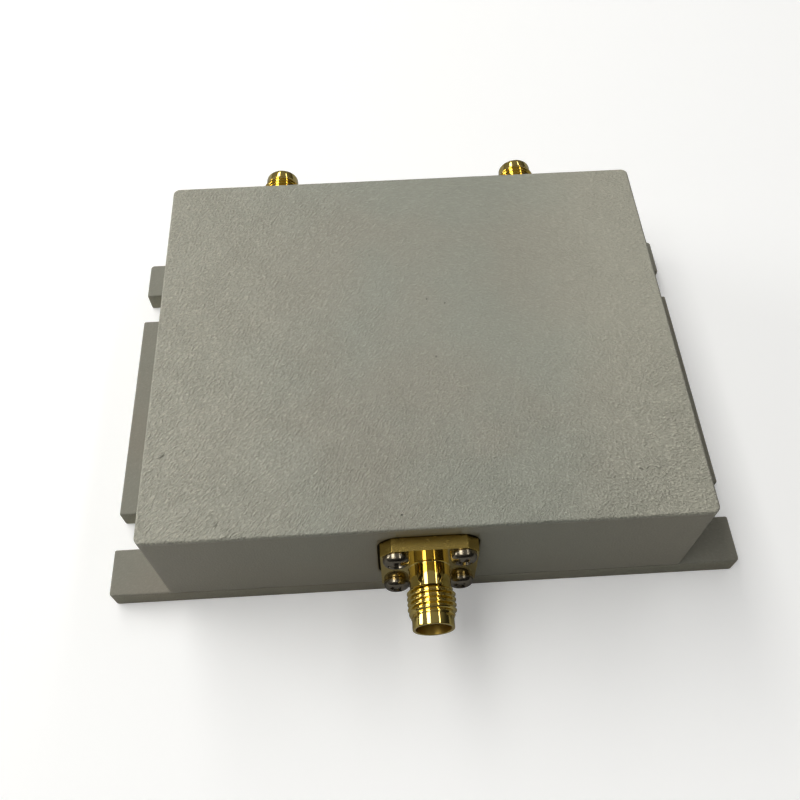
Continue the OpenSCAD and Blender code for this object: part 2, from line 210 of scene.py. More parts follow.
class DIVIDER_PG_finish(bpy.types.PropertyGroup):
    """Colours of the visible finishes."""

    coat: colour("Coat", "Powder coat of the housing and base plate", (0.322, 0.319, 0.257))
    gold: colour("Gold", "Gold plate of the connectors", (0.87, 0.66, 0.19))
    # The screws' brown tint is partly painted reflection of the gold flanges round them
    steel: colour("Screws", "Nickel plate of the screws", (0.33, 0.285, 0.205))
    aluminium: colour("Bare Metal", "Milled aluminium inside the housing", (0.6, 0.6, 0.59))
    # The masked rings' near-black is dirt and painted shade of the gap round each flange
    masked: colour("Masked Ring", "Dirty metal of the bare rings round the flanges", (0.012, 0.011, 0.01))
    insulator: colour("Insulator", "Fluoropolymer of the insulators", (0.8, 0.79, 0.74))
    copper: colour("Copper", "Etched copper of the board", (0.72, 0.36, 0.2))
    laminate: colour("Laminate", "Woven glass laminate of the board", (0.5, 0.46, 0.27))


class DIVIDER_PG_stage(bpy.types.PropertyGroup):
    """Floor, lights and camera."""

    floor: colour("Floor", "Colour of the floor", (0.88, 0.875, 0.85))
    mirrored: colour("Mirrored Floor", "Colour of the floor in mirror images", (0.3, 0.31, 0.33))
    glow: share("Floor Glow", "Light added to the floor in view, as from a light table", 0.25)
    ambient: share("Ambient Light", "Brightness of the surroundings overhead", 0.2, 10.0)
    backdrop: share("Backdrop", "Brightness of the surroundings where they show past the floor", 0.9)
    strip: share("Strip Light", "Brightness of the two ceiling strips", 4.9, 100.0)
    side: share("Side Light", "Brightness of the box light at the left", 6.0, 100.0)
    lens: FloatProperty(
        name="Lens", description="Focal length of the camera", default=37.98, min=1.0, unit="CAMERA"
    )
    place: FloatVectorProperty(
        name="Camera Place",
        description="Where the camera stands",
        default=(-0.00523, -0.07182, 0.11901),
        size=3,
        precision=5,
        subtype="TRANSLATION",
        unit="LENGTH",
    )
    tilt: FloatVectorProperty(
        name="Camera Tilt",
        description="How the camera is turned",
        default=[math.radians(a) for a in (31.73, 0.46, -3.23)],
        size=3,
        subtype="EULER",
        unit="ROTATION",
    )


# Node trees, wired up by plain expressions


def find(sockets, key):
    """A socket by its number, its identifier or its name."""
    if isinstance(key, int):
        return sockets[key]
    for socket in sockets:
        if socket.identifier == key:
            return socket
    return sockets[key]


def arithmetic(operation, reflected=False):
    """A method of Wire that adds one Math node."""

    def method(self, other):
        values = (other, self) if reflected else (self, other)
        return self.board.math(operation, *values)

    return method


class Wire:
    """An output socket that takes part in arithmetic; each step adds a Math node."""

    def __init__(self, board, node, key):
        self.board = board
        self.node = node
        self.socket = find(node.outputs, key)

    def out(self, key):
        """Another output of the same node."""
        return Wire(self.board, self.node, key)

    __add__ = arithmetic("ADD")
    __radd__ = arithmetic("ADD", reflected=True)
    __sub__ = arithmetic("SUBTRACT")
    __rsub__ = arithmetic("SUBTRACT", reflected=True)
    __mul__ = arithmetic("MULTIPLY")
    __rmul__ = arithmetic("MULTIPLY", reflected=True)
    __truediv__ = arithmetic("DIVIDE")
    __rtruediv__ = arithmetic("DIVIDE", reflected=True)
    __pow__ = arithmetic("POWER")

    def __neg__(self):
        return self * -1.0

    def __abs__(self):
        return self.board.math("ABSOLUTE", self)


class Board:
    """A node tree and the calls that fill it."""

    def __init__(self, tree):
        self.tree = tree
        tree.nodes.clear()

    def node(self, kind, settings=None, sockets=None, out=0):
        """Adds a node: its settings first, then the values or wires of its sockets."""
        made = self.tree.nodes.new(kind)
        for key, value in (settings or {}).items():
            setattr(made, key, value)
        for key, value in (sockets or {}).items():
            self.feed(find(made.inputs, key), value)
        return Wire(self, made, out) if made.outputs else made

    def feed(self, socket, value):
        """Links a wire to a socket or sets its constant."""
        if isinstance(value, Wire):
            self.tree.links.new(value.socket, socket)
        elif socket.type == "RGBA" and len(value) == 3:
            socket.default_value = (*value, 1.0)
        else:
            socket.default_value = value

    def math(self, operation, *values):
        """A Math node."""
        return self.node("ShaderNodeMath", {"operation": operation}, dict(enumerate(values)))

    def vector(self, operation, *values, out=0):
        """A Vector Math node."""
        return self.node("ShaderNodeVectorMath", {"operation": operation}, dict(enumerate(values)), out)

    def scale(self, vector, factor):
        """A vector times a number."""
        return self.node("ShaderNodeVectorMath", {"operation": "SCALE"}, {0: vector, "Scale": factor})

    def turn(self, place, angle, centre=(0.0, 0.0, 0.0)):
        """A place turned about the upright line through a centre."""
        sockets = {"Vector": place, "Center": centre, "Angle": angle}
        return self.node("ShaderNodeVectorRotate", {"rotation_type": "Z_AXIS"}, sockets)

    def split(self, vector):
        """The X, Y and Z of a vector."""
        parts = self.node("ShaderNodeSeparateXYZ", None, {"Vector": vector})
        return parts, parts.out("Y"), parts.out("Z")

    def millimetres(self):
        """Object coordinates in millimetres."""
        return self.scale(self.node("ShaderNodeTexCoord", None, None, "Object"), 1 / MM)

    def attribute(self, name):
        """The number that a mesh carries under this name."""
        return self.node("ShaderNodeAttribute", {"attribute_name": name}, None, "Fac")

    def step(self, value, low, high, to_low=0.0, to_high=1.0):
        """Smooth step from to_low to to_high as the value goes from low to high."""
        return self.node(
            "ShaderNodeMapRange",
            {"interpolation_type": "SMOOTHSTEP"},
            {"Value": value, "From Min": low, "From Max": high, "To Min": to_low, "To Max": to_high},
        )

    def blend(self, factor, a, b, how="MIX"):
        """Colour a turns into colour b as the factor goes from 0 to 1."""
        return self.node(
            "ShaderNodeMix",
            {"data_type": "RGBA", "blend_type": how, "clamp_factor": True},
            {"Factor_Float": factor, "A_Color": a, "B_Color": b},
            "Result_Color",
        )

    def noise(self, place, scale, detail=2.0, roughness=0.5, distortion=0.0):
        """Noise from about 0 to 1, at so many waves a unit of place."""
        sockets = {"Vector": place, "Scale": scale, "Detail": detail}
        return self.node(
            "ShaderNodeTexNoise", None, {**sockets, "Roughness": roughness, "Distortion": distortion}
        )

    def stretched_noise(self, place, waves, detail=2.0):
        """Noise at its own number of waves along X, Y and Z."""
        return self.noise(self.vector("MULTIPLY", place, waves), 1.0, detail)


class Surface(Board):
    """The node tree of a new material with one Principled shader."""

    def __init__(self, name, base, constants=None):
        self.material = bpy.data.materials.new(name)
        self.material.use_nodes = True
        super().__init__(self.material.node_tree)
        sockets = {"Base Color": base[:], **(constants or {})}
        shader = self.node("ShaderNodeBsdfPrincipled", None, sockets)
        self.node("ShaderNodeOutputMaterial", None, {"Surface": shader})
        self.inputs = shader.node.inputs

    def vary(self, **wires):
        """Feeds wires to the shader's sockets, named in lower case."""
        for key, wire in wires.items():
            self.feed(self.inputs[key.replace("_", " ").title()], wire)

    def complete(self, base, roughness, relief, depth_mm):
        """Feeds colour, roughness and relief of so many millimetres, and returns the material."""
        bumped = self.node("ShaderNodeBump", None, {"Distance": depth_mm * MM, "Height": relief})
        self.vary(base_color=base, roughness=roughness, normal=bumped)
        return self.material


# Finishes


def coarseness(board, place):
    """Share of the full grain: the coat flowed out smoother round the rear right of the middle."""
    apart = board.vector("DISTANCE", place, SMOOTH_SPOT, out="Value")
    return board.step(apart, 12.0, 44.0, 0.45, 1.0)


def wrinkles(board, place, x):
    """Short fine ridges of the coat, which lean less and less towards the right."""
    lean = board.step(x, -20.0, 34.0, math.radians(38.0), math.radians(-4.0))
    return board.stretched_noise(board.turn(place, -lean), (2.7, 5.6, 3.0), 1.0)


def marks(board, place):
    """Relief and dirt of the dents, bumps and specks on the housing's top."""
    relief, dirt = 0.0, 0.0
    for x, y, long, wide, lean, height, stain in MARKS:
        centre = (x, y, TOP)
        if long == wide:
            away = board.vector("DISTANCE", place, centre, out="Value") / long
        else:
            level = board.turn(place, -math.radians(lean), centre)
            off = board.vector("SUBTRACT", level, centre)
            away = board.vector("LENGTH", board.vector("DIVIDE", off, (long, wide, 1.0)), out="Value")
        spot = board.step(away, 0.35, 1.0, 1.0, 0.0)
        relief = relief + spot * height
        if stain:
            dirt = dirt + spot * stain
    return relief, dirt


def open_joint(board, place, y, z):
    """Where the joint between housing and base plate shows, as the coat has not closed it."""
    opened = board.step(board.stretched_noise(place, (0.11, 0.0, 0.0)), 0.52, 0.6)
    seam = board.step(abs(z - PLATE_TOP), 0.03, 0.1, 1.0, 0.0)
    outside = board.step(abs(y), REAR - 0.2, REAR - 0.08)
    return seam * opened * outside * 0.55


def coat_material(finish, name, on_housing):
    """Warm grey powder coat: fine wrinkles, a faint joint and bare masked places."""
    shine, dullness = (0.5, 0.48) if on_housing else (0.1, 0.6)
    board = Surface(name, finish.coat, {"Specular IOR Level": shine})
    place = board.millimetres()
    x, y, z = board.split(place)

    # Grain, strongest on the housing's top and towards its left and right ends
    fine = board.noise(place, 5.0, 2.0, 0.6)
    patches = board.noise(place, 0.045)
    swell = board.step(board.noise(place, 0.3, 1.0), 0.3, 0.7, 0.85, 1.25)
    ridges = wrinkles(board, place, x)
    flat_top = board.step(z, TOP - 0.9, TOP - 0.3, 0.2, 1.0)
    ends_grain_and_painted_light = board.step(x, -34.0, -4.0, 1.0, 0.0) + board.step(x, 12.0, 34.0)
    grain_share = coarseness(board, place) * flat_top * (1.0 + ends_grain_and_painted_light * 0.5)
    relief = (ridges * swell + fine * 0.2) * grain_share

    # Colour: painted glints and painted shade on the ridges, warm or cool patches, and painted shade on the
    # sides
    painted_glints_and_shade = board.step(ridges, 0.58, 0.72) * 0.2 + (ridges - 0.5) * 0.5
    tone = 1.012 + (fine - 0.5) * 0.05 + (patches - 0.5) * 0.05 + painted_glints_and_shade * grain_share
    cool = board.step(patches, 0.38, 0.62)
    if on_housing:
        # Painted light: the top lighter and warmer towards its left and right ends
        tone = tone + ends_grain_and_painted_light * flat_top * 0.24
        cool = cool * (0.95 - ends_grain_and_painted_light * 0.85)
        # Painted shade: the walls below the top darker and warmer
        wall = board.step(z, TOP - 0.9, TOP - 0.3, 1.0, 0.0)
        sides = board.blend(wall, (1.0, 1.0, 1.0), WALL_SHADE_TINT)
    else:
        # Painted shade: the base plate's top darker than its sides
        sides = board.blend(board.step(z, PLATE_TOP - 0.4, PLATE_TOP - 0.1), PLATE_SIDE_SHADE_TINT, PLATE_TOP_SHADE_TINT)
    coloured = finish.coat[:]
    even = board.node("ShaderNodeCombineColor", None, {0: tone, 1: tone, 2: tone})
    for tint in (even, board.blend(cool, WARM_TINT, COOL_TINT), sides):
        coloured = board.blend(1.0, coloured, tint, "MULTIPLY")
    if on_housing:
        # Painted shade: a dark band along the top's right and rear edges
        rim = board.step(x, RIGHT - 0.35, RIGHT - 0.13) * 0.4 + board.step(y, REAR - 0.35, REAR - 0.1) * 0.28
        coloured = board.blend(rim * board.step(z, TOP - 0.6, TOP - 0.35), coloured, JOINT_AND_EDGE_SHADE)
        dents, dirt = marks(board, place)
        relief = relief + dents
        coloured = board.blend(dirt, coloured, SPECK)
    coloured = board.blend(open_joint(board, place, y, z), coloured, JOINT_AND_EDGE_SHADE)

    # Bare metal is clean inside; on the rings masked round the flanges it is near black, dirt and painted
    # shade of the gap
    bare = board.attribute("bare")
    ring = board.step(abs(y), REAR - 1.5, REAR - 0.5)
    metal = board.blend(ring, finish.aluminium[:], finish.masked[:])
    board.vary(metallic=bare * (1.0 - ring * 0.6))
    rough = dullness + (fine - 0.5) * 0.1 + bare * 0.2
    return board.complete(board.blend(bare, coloured, metal), rough, relief, 0.2)


def gold_material(finish):
    """Polished gold plate with fine tool marks and a little tarnish, duller where milled, and rougher in the
    bores, which are darkened with painted shade.
    """
    board = Surface("gold_plate", finish.gold, {"Metallic": 1.0})
    place = board.millimetres()
    cloud = board.noise(place, 0.7, 3.0, 0.55)
    inside, milled = board.attribute("inside"), board.attribute("milled")
    base = board.blend(board.step(cloud, 0.5, 0.85, 0.0, 0.25), finish.gold[:], TARNISH)
    # Painted shade in the bores
    base = board.blend(inside * 0.75, base, BORE_GOLD_SHADE)
    base = board.blend(milled, base, MILLED_GOLD)
    grain = board.stretched_noise(place, (2.0, 30.0, 2.0))
    dull = inside * 0.35 + milled * 0.2
    return board.complete(base, 0.03 + cloud * 0.04 + grain * 0.03 + dull, grain, 0.0006)


def steel_material(finish):
    """Nickel-plated steel, duller in the cross recesses and darkened there with painted shade and some dirt.
    """
    board = Surface("screw_steel", finish.steel, {"Metallic": 1.0})
    place = board.millimetres()
    worn = board.noise(place, 2.2, 3.0, 0.6)
    # Painted shade deepening into the cross recess, mottled with dirt
    dirt = board.step(board.attribute("recess") + (worn - 0.5) * 0.5, 0.35, 0.9)
    base = board.blend(worn, finish.steel[:], darker(finish.steel, 0.78))
    base = board.blend(dirt * 0.8, base, SCREW_RECESS_SHADE_AND_DIRT)
    return board.complete(base, 0.14 + worn * 0.12 + dirt * 0.35, board.noise(place, 4.0, 3.0, 0.6), 0.02)


def insulator_material(finish):
    """Waxy white fluoropolymer with faint turning rings."""
    board = Surface("insulator_white", finish.insulator, {"IOR": 1.38})
    rings = board.stretched_noise(board.millimetres(), (1.0, 14.0, 1.0))
    base = board.blend(rings, darker(finish.insulator, 0.92), finish.insulator[:])
    return board.complete(base, 0.42 + rings * 0.12, rings, 0.01)


def laminate_material(finish):
    """Glass laminate whose weave shows faintly through the resin."""
    board = Surface("laminate", finish.laminate)
    place = board.millimetres()
    x, y, _ = board.split(place)
    threads = board.math("SINE", x * 7.0) * board.math("SINE", y * 7.0)
    weave = board.step(threads, -0.8, 0.8) * 0.6 + board.noise(place, 2.5) * 0.4
    base = board.blend(weave, darker(finish.laminate, 0.82), finish.laminate[:])
    return board.complete(base, 0.3 + weave * 0.15, weave, 0.01)


def copper_material(finish):
    """Etched copper, bright with a darker bloom of oxide."""
    board = Surface("copper", finish.copper, {"Metallic": 1.0})
    place = board.millimetres()
    oxide = board.step(board.noise(place, 0.35, 4.0, 0.6), 0.45, 0.75)
    base = board.blend(oxide, finish.copper[:], OXIDE)
    return board.complete(base, 0.26 + oxide * 0.2, board.noise(place, 12.0), 0.003)


def tin_material():
    """Solder and tinned caps, bright with slight ripples."""
    board = Surface("solder_tin", TIN, {"Metallic": 1.0})
    ripple = board.noise(board.millimetres(), 3.5, distortion=0.4)
    return board.complete(board.blend(ripple, TIN, DULL_TIN), 0.18 + ripple * 0.2, ripple, 0.02)


def ceramic_material():
    """Fired white ceramic with a fine grain."""
    board = Surface("resistor_ceramic", CERAMIC)
    grain = board.noise(board.millimetres(), 8.0, 3.0)
    return board.complete(board.blend(grain, CERAMIC_GRAIN, CERAMIC), 0.35 + grain * 0.2, grain, 0.008)


def darker(shade_of, brightness):
    """A colour at a share of its brightness."""
    return [part * brightness for part in shade_of]


# Meshes


def add_piece(name, vertices, faces):
    """A new object of a closed mesh with merged points and outward normals."""
    mesh = bpy.data.meshes.new(name)
    mesh.from_pydata([tuple(v) for v in vertices], [], faces)
    clean(mesh)
    return link(name, mesh)


def link(name, mesh):
    """A new object in the scene."""
    piece = bpy.data.objects.new(name, mesh)
    bpy.context.scene.collection.objects.link(piece)
    return piece


def clean(mesh):
    """Merges doubled points, drops collapsed faces and turns the normals outwards."""
    build = bmesh.new()
    build.from_mesh(mesh)
    bmesh.ops.remove_doubles(build, verts=build.verts, dist=MERGE)
    bmesh.ops.dissolve_degenerate(build, edges=build.edges, dist=MERGE / 5)
    bmesh.ops.recalc_face_normals(build, faces=build.faces)
    build.to_mesh(mesh)
    build.free()


def remove(piece):
    """Takes a scratch object out of the file."""
    mesh = piece.data
    bpy.data.objects.remove(piece)
    bpy.data.meshes.remove(mesh)


def applied(piece):
    """The same piece with its modifiers made part of its mesh."""
    graph = bpy.context.evaluated_depsgraph_get()
    made = bpy.data.meshes.new_from_object(
        piece.evaluated_get(graph), preserve_all_data_layers=True, depsgraph=graph
    )
    old = piece.data
    piece.modifiers.clear()
    piece.data = made
    made.name = piece.name
    bpy.data.meshes.remove(old)
    return piece


def combine(piece, others, operation):
    """Unites a piece with others, cuts them from it or keeps what they share; the others go."""
    for other in others:
        cut = piece.modifiers.new(operation.lower(), "BOOLEAN")
        cut.solver = "MANIFOLD"
        cut.operation = operation
        cut.object = other
    applied(piece)
    for other in others:
        remove(other)


def soften(piece, radius, segments=3, angle=30.0):
    """Rounds a piece's sharp edges."""
    bevel = piece.modifiers.new("edges", "BEVEL")
    bevel.width = radius
    bevel.segments = segments
    bevel.limit_method = "ANGLE"
    bevel.angle_limit = math.radians(angle)
    applied(piece)


def shade(piece, angle=35.0, weighted=False):
    """Smooth shading that keeps edges sharper than the angle."""
    piece.data.shade_smooth()
    piece.data.set_sharp_from_angle(angle=math.radians(angle))
    if weighted:
        even = piece.modifiers.new("even", "WEIGHTED_NORMAL")
        even.keep_sharp = True
        applied(piece)
    return piece


def cad_copy(node):
    """A closed copy of a CAD node's mesh, whose own triangles are loose."""
    mesh = frame["nodes"][node].data.copy()
    mesh.materials.clear()
    clean(mesh)
    return link(node + "_copy", mesh)


def listed(items, key):
    """A vector that each point or face of a mesh has, as rows of three numbers."""
    values = np.zeros(len(items) * 3)
    items.foreach_get(key, values)
    return values.reshape(-1, 3)


def store(mesh, name, values, domain="FACE"):
    """Keeps a number with each face or point of a mesh, for its material to read."""
    kept = mesh.attributes.new(name, "FLOAT", domain)
    kept.data.foreach_set("value", values.astype(np.float32))


def turned(name, outline, turns):
    """A lathe piece about Z. The outline is closed, or starts and ends on the axis."""
    angles = np.linspace(0.0, 2 * math.pi, turns, endpoint=False)
    radii, heights = np.array(outline).T
    across, along = np.outer(np.cos(angles), radii), np.outer(np.sin(angles), radii)
    vertices = np.stack([across, along, np.broadcast_to(heights, across.shape)], axis=-1).reshape(-1, 3)
    count = len(outline)
    faces = []
    for i in range(turns):
        here, there = i * count, (i + 1) % turns * count
        for j in range(count):
            after = (j + 1) % count
            faces.append((here + j, there + j, there + after, here + after))
    return add_piece(name, vertices, faces)


def prism(name, outline, low, high):
    """An upright prism on a plane outline."""
    count = len(outline)
    vertices = [(x, y, z) for z in (low, high) for x, y in outline]
    sides = [(i, (i + 1) % count, count + (i + 1) % count, count + i) for i in range(count)]
    caps = [tuple(range(count))[::-1], tuple(range(count, 2 * count))]
    return add_piece(name, vertices, sides + caps)


def rod(name, radius, low, high, centre=(0.0, 0.0)):
    """A round cutter."""
    turns = 48
    ring = [2 * math.pi * i / turns for i in range(turns)]
    outline = [(centre[0] + radius * math.cos(a), centre[1] + radius * math.sin(a)) for a in ring]
    return prism(name, outline, low, high)


def rows(start, end, spacing):
    """Evenly spaced heights from start to end."""
    return np.linspace(start, end, max(2, round(abs(end - start) / spacing)) + 1)


def arc(centre_x, centre_y, radius, start, end, count):
    """Points on a circle, from a start to an end angle in degrees."""
    return [
        (centre_x + radius * math.cos(math.radians(a)), centre_y + radius * math.sin(math.radians(a)))
        for a in np.linspace(start, end, count)
    ]


# Geometry node trees


def geometry_board(name, **kinds):
    """A new geometry tree: returns its board and a wire for each input, listed by kind."""
    tree = bpy.data.node_groups.new(name, "GeometryNodeTree")
    kinds = {"Geometry": ["Geometry"], **kinds}
    for kind, labels in kinds.items():
        for label in labels:
            tree.interface.new_socket(label, in_out="INPUT", socket_type="NodeSocket" + kind)
    tree.interface.new_socket("Geometry", in_out="OUTPUT", socket_type="NodeSocketGeometry")
    board = Board(tree)
    first = board.node("NodeGroupInput")
    return board, {label: first.out(label) for labels in kinds.values() for label in labels}


def close_tree(board, geometry, material):
    """Ends a geometry tree with real meshes in one material."""
    real = board.node("GeometryNodeRealizeInstances", None, {"Geometry": geometry})
    named = board.node("GeometryNodeSetMaterial", None, {"Geometry": real, "Material": material})
    board.node("NodeGroupOutput", None, {"Geometry": named})
    return board.tree


def run_tree(piece, tree, **values):
    """Runs a geometry tree on a piece with these inputs and keeps the result."""
    modifier = piece.modifiers.new(tree.name, "NODES")
    modifier.node_group = tree
    sockets = {s.name: s.identifier for s in tree.interface.items_tree if s.in_out == "INPUT"}
    for label, value in values.items():
        modifier[sockets[label.replace("_", " ").title()]] = value
    applied(piece)


def coat_tree(material):
    """Sinks the pits of the coat's grain and the open stretches of the joint into a skin."""
    numbers = ["Inset", "Grain Size", "Grain Depth", "Side Share", "Seam Height", "Seam Width", "Seam Depth"]
    board, given = geometry_board("Coat Grain", Float=numbers)
    place = board.node("GeometryNodeInputPosition")
    normal = board.node("GeometryNodeInputNormal")
    z, upwards = board.split(place)[2], board.split(normal)[2]
    waves = board.scale(place, 1 / given["Grain Size"])
    pits = 1 - board.step(board.noise(waves, 1.0, 1.5, distortion=0.5), 0.3, 0.75)
    pits = pits * coarseness(board, board.scale(place, 1 / MM))
    faces_up = board.step(upwards, 0.1, 0.8, given["Side Share"], 1.0)
    opened = board.step(board.stretched_noise(place, (110.0, 0.0, 0.0)), 0.52, 0.6)
    near = board.step(z - given["Seam Height"], 0.0, given["Seam Width"], 1.0, 0.0)
    sunk = given["Inset"] + pits * given["Grain Depth"] * faces_up + near * opened * given["Seam Depth"]
    offset = board.scale(normal, -sunk)
    moved = board.node("GeometryNodeSetPosition", None, {"Geometry": given["Geometry"], "Offset": offset})
    return close_tree(board, moved, material)


def thread_tree(material):
    """Cuts a right-hand V thread into a turned piece whose axis is Z."""
    board, given = geometry_board("Cut Thread", Float=["Crest Radius", "Depth", "Pitch", "Start", "End"])
    x, y, z = board.split(board.node("GeometryNodeInputPosition"))
    radius = (x * x + y * y) ** 0.5
    turn = board.math("ARCTAN2", y, x) / (2 * math.pi)
    apart = abs(board.math("FRACT", (z - given["Start"]) / given["Pitch"] - turn) - 0.5)
    crest_edge, root_edge = 0.4375, 0.11
    flank = {"Value": apart, "From Min": root_edge, "From Max": crest_edge, "To Min": 1.0, "To Max": 0.0}
    groove = board.node("ShaderNodeMapRange", None, flank)
    shrink = board.math("MINIMUM", (given["Crest Radius"] - groove * given["Depth"]) / radius, 1.0)
    moved = board.node("ShaderNodeCombineXYZ", None, {"X": x * shrink, "Y": y * shrink, "Z": z})
    inside = board.math("GREATER_THAN", z, given["Start"]) * board.math("LESS_THAN", z, given["End"])
    sockets = {"Geometry": given["Geometry"], "Selection": inside, "Position": moved}
    return close_tree(board, board.node("GeometryNodeSetPosition", None, sockets), material)


def screw_tree(material):
    """Sets one screw on every point of a grid but its centre, each turned by chance."""
    board, given = geometry_board(
        "Screw Pattern", Object=["Screw"], Float=["Width", "Depth", "Height"], Int=["Columns", "Rows", "Seed"]
    )
    size = {"Size X": given["Width"], "Size Y": given["Depth"]}
    count = {"Vertices X": given["Columns"], "Vertices Y": given["Rows"]}
    grid = board.node("GeometryNodeMeshGrid", None, {**size, **count})
    off_centre = board.vector("LENGTH", board.node("GeometryNodeInputPosition"), out="Value")
    kept = board.node(
        "GeometryNodeDeleteGeometry",
        {"domain": "POINT"},
        {"Geometry": grid, "Selection": board.math("LESS_THAN", off_centre, MM)},
    )
    screw = board.node("GeometryNodeObjectInfo", None, {"Object": given["Screw"]}, "Geometry")
    chance = board.node(
        "FunctionNodeRandomValue",
        {"data_type": "FLOAT"},
        {"Min_001": 0.0, "Max_001": math.pi / 2, "Seed": given["Seed"]},
        "Value_001",
    )
    turn = board.node("ShaderNodeCombineXYZ", None, {"Z": chance})
    lift = board.node("ShaderNodeCombineXYZ", None, {"Z": given["Height"]})
    raised = board.node("GeometryNodeSetPosition", None, {"Geometry": kept, "Offset": lift})
    sockets = {"Points": raised, "Instance": screw, "Rotation": turn}
    return close_tree(board, board.node("GeometryNodeInstanceOnPoints", None, sockets), material)


# Housing and base plate


def stations(half, corner, edge, step):
    """Grid lines from -half to half, evenly spaced and closer at the corners and edges."""
    corner_lines = np.linspace(half - corner, half - edge, 5)
    edge_lines = np.linspace(half - edge, half, 6)
    end_lines = np.concatenate([corner_lines, edge_lines[1:]])
    middle = rows(corner - half, half - corner, step)
    return np.concatenate([-end_lines[:0:-1], middle, end_lines[1:]])


def round_off(points, half_x, half_y, top, corner, edge):
    """Moves points of a box's skin onto its rounded corners and its rounded upper edges."""
    tiny = 1e-12
    x, y, z = points.T
    over_x = np.maximum(np.abs(x) - (half_x - corner), 0.0)
    over_y = np.maximum(np.abs(y) - (half_y - corner), 0.0)
    reach = np.maximum(over_x, over_y)
    far = np.maximum(np.hypot(over_x, over_y), tiny)
    beyond = np.maximum(edge - corner + reach, 0.0)
    above = np.maximum(edge - top + z, 0.0)
    inwards = np.maximum(beyond, above) / np.maximum(np.hypot(beyond, above), tiny)
    pull = np.where((beyond > 0) & (above > 0), inwards, 1.0)
    plan = reach - beyond * (1 - pull)
    new_x = np.sign(x) * (np.minimum(np.abs(x), half_x - corner) + over_x / far * plan)
    new_y = np.sign(y) * (np.minimum(np.abs(y), half_y - corner) + over_y / far * plan)
    return np.stack([new_x, new_y, z - above * (1 - pull)], axis=1)


def housing_skin(body):
    """The housing's outside as one closed, finely gridded block."""
    low, high = HOUSING
    half_x, half_y, top = high.x, high.y, high.z
    xs = stations(half_x, body.corner, body.edge, body.step)
    ys = stations(half_y, body.corner, body.edge, body.step)
    grid = [(x, y, top) for x in xs for y in ys]
    nx, ny = len(xs), len(ys)
    faces = [
        (i * ny + j, (i + 1) * ny + j, (i + 1) * ny + j + 1, i * ny + j + 1)
        for i in range(nx - 1)
        for j in range(ny - 1)
    ]
    rim = [i * ny for i in range(nx)]
    rim += [(nx - 1) * ny + j for j in range(1, ny)]
    rim += [i * ny + ny - 1 for i in range(nx - 2, -1, -1)]
    rim += [j for j in range(ny - 2, 0, -1)]

    # Rows down the wall, close at the upper edge and round the joint
    above_joint, wall_spacing = 1.5 * MM, 2.0 * MM
    edge_rows = np.linspace(top, top - body.edge, 7)[1:]
    wall_rows = rows(top - body.edge, low.z + above_joint, wall_spacing)[1:]
    seam_rows = low.z + np.array([1.0, 0.5, 0.2, 0.1, 0.05, 0.0, -0.3]) * MM
    upper = rim
    for z in np.concatenate([edge_rows, wall_rows, seam_rows]):
        first = len(grid)
        grid += [(grid[i][0], grid[i][1], z) for i in rim]
        lower = list(range(first, first + len(rim)))
        for k in range(len(rim)):
            after = (k + 1) % len(rim)
            faces.append((upper[after], upper[k], lower[k], lower[after]))
        upper = lower
    faces.append(tuple(reversed(upper)))
    points = round_off(np.array(grid), half_x, half_y, top, body.corner, body.edge)
    return add_piece("housing_body", points, faces)


def mark_bare(piece, body):
    """Marks the faces that lie deeper than the coat, where the metal is bare."""
    coat_thickness = 0.06 * MM
    x, y, z = np.abs(listed(piece.data.polygons, "center")).T
    high = HOUSING[1]
    over = np.hypot(np.maximum(x - high.x + body.corner, 0.0), np.maximum(y - high.y + body.corner, 0.0))
    in_plan = np.where(over > 0, body.corner - over, np.minimum(high.x - x, high.y - y))
    side = body.edge - np.minimum(in_plan, body.edge)
    above = body.edge - np.minimum(high.z - z, body.edge)
    in_edge = body.edge - np.hypot(side, above)
    depth = np.where((side > 0) & (above > 0), in_edge, np.minimum(in_plan, high.z - z))
    store(piece.data, "bare", depth > body.grain_depth + coat_thickness)


def build_housing(body, finish):
    """Grained skin over the CAD housing's pocket, bosses, seats and holes."""
    material = coat_material(finish, "coated_housing", True)
    piece = housing_skin(body)
    run_tree(
        piece,
        coat_tree(material),
        inset=0.01 * MM,
        grain_size=body.grain_size,
        grain_depth=body.grain_depth,
        side_share=0.2,
        seam_height=HOUSING[0].z,
        seam_width=0.15 * MM,
        seam_depth=body.seam_depth,
    )
    combine(piece, [cad_copy("housing")], "INTERSECT")
    mark_bare(piece, body)
    dress(shade(piece, 40.0), material)
    hand_over(piece, "coated_housing", "housing")


def plate_outline(body):
    """Outline of the base plate: rounded corners and two open slots in each ear."""
    high = PLATE[1]
    slot = MOUNTS["rear_right_slot"]["pos_m"]
    half = body.slot_width / 2
    corner = body.plate_corner
    notch = [(high.x, slot[1] - half)]
    notch += arc(slot[0], slot[1], half, 270, 90, 25)
    notch += [(high.x, slot[1] + half)]
    right = notch + arc(high.x - corner, high.y - corner, corner, 0, 90, 7)
    side = [(x, -y) for x, y in right[::-1]] + right
    return side + [(-x, y) for x, y in side[::-1]]


def build_base_plate(body, finish):
    """Base plate with rounded edges round the CAD plate's screw holes."""
    material = coat_material(finish, "coated_plate", False)
    inset = 0.004 * MM
    low, high = PLATE
    piece = prism("base_plate_body", plate_outline(body), low.z, high.z)
    soften(piece, body.plate_edge)
    piece.data.transform(Matrix.Diagonal([1 - inset / high.x, 1 - inset / high.y, 1.0, 1.0]))
    combine(piece, [cad_copy("base_plate")], "INTERSECT")
    piece.data.attributes.new("bare", "FLOAT", "FACE")
    dress(shade(piece, 40.0, weighted=True), material)
    hand_over(piece, "coated_plate", "base_plate")


# Connectors, each in its own frame with the flange's back at zero, +Z outwards and +Y up


